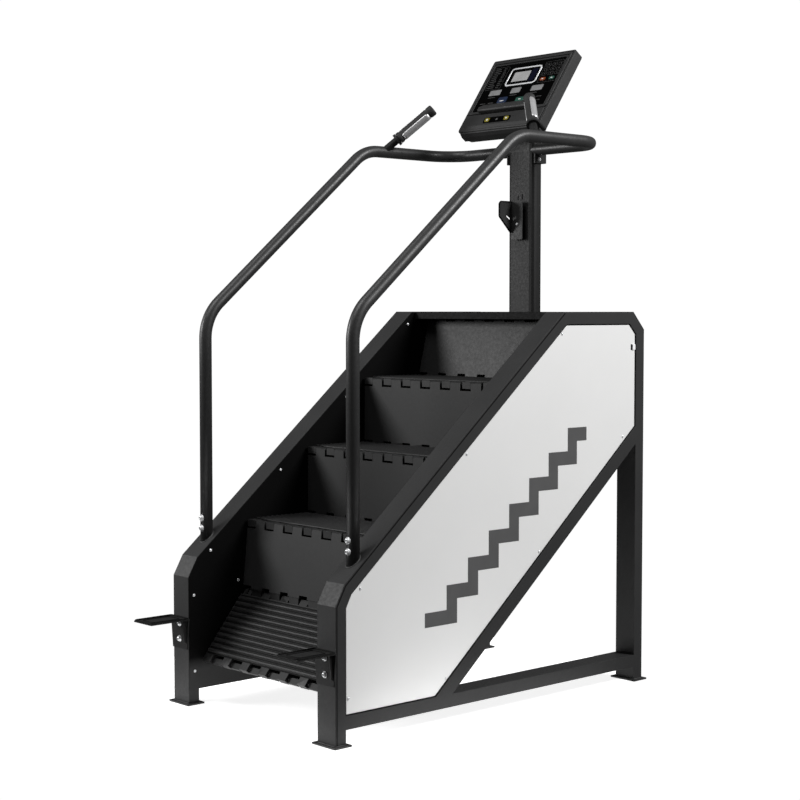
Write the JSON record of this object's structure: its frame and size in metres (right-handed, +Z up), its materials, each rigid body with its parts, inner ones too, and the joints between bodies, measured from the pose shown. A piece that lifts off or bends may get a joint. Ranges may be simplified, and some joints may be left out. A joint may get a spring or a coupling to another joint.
{
  "type": "stair climber",
  "caption": "Stair climbing machine: hinged treads and risers in an endless chain between two welded side frames, with a bent tube handrail, a mast and a tilted console.",
  "frame": {"origin": "floor level, centre of the footprint", "axes": "+Z up, +X across the machine to the user's right, +Y forwards, from the boarding side to the console"},
  "size_m": [0.824, 1.513, 2.1275],
  "materials": {
    "powder_coat": "semi-matte charcoal powder coat",
    "white_sheet": "satin off-white painted sheet steel",
    "dark_cover": "matte black painted sheet steel",
    "slat": "black coated ribbed aluminium",
    "bright_steel": "machined steel",
    "black_plastic": "textured black plastic",
    "gloss_panel": "glossy black keypad overlay",
    "silver_trim": "bright silver",
    "rubber": "black rubber",
    "screen": "grey display window",
    "orange_key": "orange key",
    "green_key": "green key",
    "blue_key": "blue key",
    "yellow_key": "yellow key"
  },
  "bodies": {
    "base": {"bearing_left": "bright_steel", "bearing_right": "bright_steel", "belly_cover": "dark_cover", "bottle_holder": "black_plastic", "console_back": "black_plastic", "console_fascia": "gloss_panel", "console_housing": "black_plastic", "control_box": "black_plastic", "cross_tube_lower": "powder_coat", "cross_tube_upper": "powder_coat", "display_bezel": "silver_trim", "display_screen": "screen", "drive_belt": "rubber", "drive_motor": "black_plastic", "entry_step_left": "powder_coat", "entry_step_right": "powder_coat", "frame_left": "powder_coat", "frame_right": "powder_coat", "grip_post_left": "powder_coat", "grip_post_right": "powder_coat", "grip_sleeve_left": "rubber", "grip_sleeve_right": "rubber", "guide_rail_left": "bright_steel", "guide_rail_right": "bright_steel", "handrail": "powder_coat", "handrail_saddle": "powder_coat", "inner_panel_left": "dark_cover", "inner_panel_right": "dark_cover", "mast": "powder_coat", "power_inlet": "black_plastic", "reading_ledge": "black_plastic", "rear_cover": "dark_cover", "side_panel_left": "white_sheet", "side_panel_right": "white_sheet", "top_cover": "dark_cover"},
    "stair_run": {"tread_1": "slat", "riser_1": "slat", "tread_2": "slat", "riser_2": "slat", "tread_3": "slat", "riser_3": "slat"},
    "tread_4": {"tread_4": "slat"},
    "riser_4": {"riser_4": "slat"},
    "return_run": {"tread_5": "slat", "riser_5": "slat", "tread_6": "slat", "riser_6": "slat", "tread_7": "slat"},
    "riser_0": {"riser_0": "slat"},
    "tread_8": {"tread_8": "slat"},
    "drive": {"drive_shaft": "bright_steel", "riser_7": "slat"},
    "idler": {"idler_shaft": "bright_steel"},
    "motor_pulley": {"motor_pulley": "bright_steel"},
    "stop_key": {"stop_key": "orange_key"},
    "start_key": {"start_key": "green_key"},
    "slower_key": {"slower_key": "blue_key"},
    "faster_key": {"faster_key": "green_key"},
    "quick_key_left": {"quick_key_left": "yellow_key"},
    "quick_key_right": {"quick_key_right": "yellow_key"}
  },
  "joints": [
    {"name": "stair_travel", "type": "slide", "parent": "base", "child": "stair_run", "axis": [0, -0.749, -0.6626], "range_m": [0, 0.01]},
    {"name": "tread_4_fold", "type": "hinge", "parent": "stair_run", "child": "tread_4", "pos_m": [0, -0.38983, 0.33852], "axis": [1, 0, 0], "range_deg": [0, 4.67]},
    {"name": "riser_4_fold", "type": "hinge", "parent": "tread_4", "child": "riser_4", "pos_m": [0, -0.54614, 0.14341], "axis": [1, 0, 0], "range_deg": [0, 1.87]},
    {"name": "return_travel", "type": "slide", "parent": "base", "child": "return_run", "axis": [0, 0.749, 0.6626], "range_m": [0, 0.0092]},
    {"name": "riser_0_fold", "type": "hinge", "parent": "stair_run", "child": "riser_0", "pos_m": [0, 0.3845, 1.005], "axis": [1, 0, 0], "range_deg": [0, 1.55]},
    {"name": "tread_8_fold", "type": "hinge", "parent": "riser_0", "child": "tread_8", "pos_m": [0, 0.43607, 1.22145], "axis": [1, 0, 0], "range_deg": [0, 1.93]},
    {"name": "drive_turn", "type": "hinge", "parent": "base", "child": "drive", "pos_m": [0, 0.5074, 0.9873], "axis": [1, 0, 0], "range_deg": [0, 3.14]},
    {"name": "idler_turn", "type": "hinge", "parent": "base", "child": "idler", "pos_m": [0, -0.4369, 0.216], "axis": [1, 0, 0], "range_deg": [0, 10.52]},
    {"name": "motor_turn", "type": "hinge", "parent": "base", "child": "motor_pulley", "pos_m": [0, 0.2385, 0.761], "axis": [1, 0, 0], "range_deg": [0, 10.15]},
    {"name": "stop_key_press", "type": "slide", "parent": "base", "child": "stop_key", "axis": [0, 0.8192, -0.5736], "range_m": [0, 0.0015], "stiffness_N_per_m": 600, "springref_m": -0.0005},
    {"name": "start_key_press", "type": "slide", "parent": "base", "child": "start_key", "axis": [0, 0.8192, -0.5736], "range_m": [0, 0.0015], "stiffness_N_per_m": 600, "springref_m": -0.0005},
    {"name": "slower_key_press", "type": "slide", "parent": "base", "child": "slower_key", "axis": [0, 0.8192, -0.5736], "range_m": [0, 0.0015], "stiffness_N_per_m": 600, "springref_m": -0.0005},
    {"name": "faster_key_press", "type": "slide", "parent": "base", "child": "faster_key", "axis": [0, 0.8192, -0.5736], "range_m": [0, 0.0015], "stiffness_N_per_m": 600, "springref_m": -0.0005},
    {"name": "quick_key_left_press", "type": "slide", "parent": "base", "child": "quick_key_left", "axis": [0, 0.8192, -0.5736], "range_m": [0, 0.0015], "stiffness_N_per_m": 600, "springref_m": -0.0005},
    {"name": "quick_key_right_press", "type": "slide", "parent": "base", "child": "quick_key_right", "axis": [0, 0.8192, -0.5736], "range_m": [0, 0.0015], "stiffness_N_per_m": 600, "springref_m": -0.0005}
  ],
  "couplings": [
    {"joint": "tread_4_fold", "follows": "stair_travel", "rad_per_m": 8},
    {"joint": "riser_4_fold", "follows": "stair_travel", "rad_per_m": 3.2},
    {"joint": "return_travel", "follows": "stair_travel", "ratio": 0.9},
    {"joint": "riser_0_fold", "follows": "stair_travel", "rad_per_m": 2.65},
    {"joint": "tread_8_fold", "follows": "stair_travel", "rad_per_m": 3.3},
    {"joint": "drive_turn", "follows": "stair_travel", "rad_per_m": 5.37},
    {"joint": "idler_turn", "follows": "stair_travel", "rad_per_m": 18},
    {"joint": "motor_turn", "follows": "stair_travel", "rad_per_m": 17.374}
  ]
}
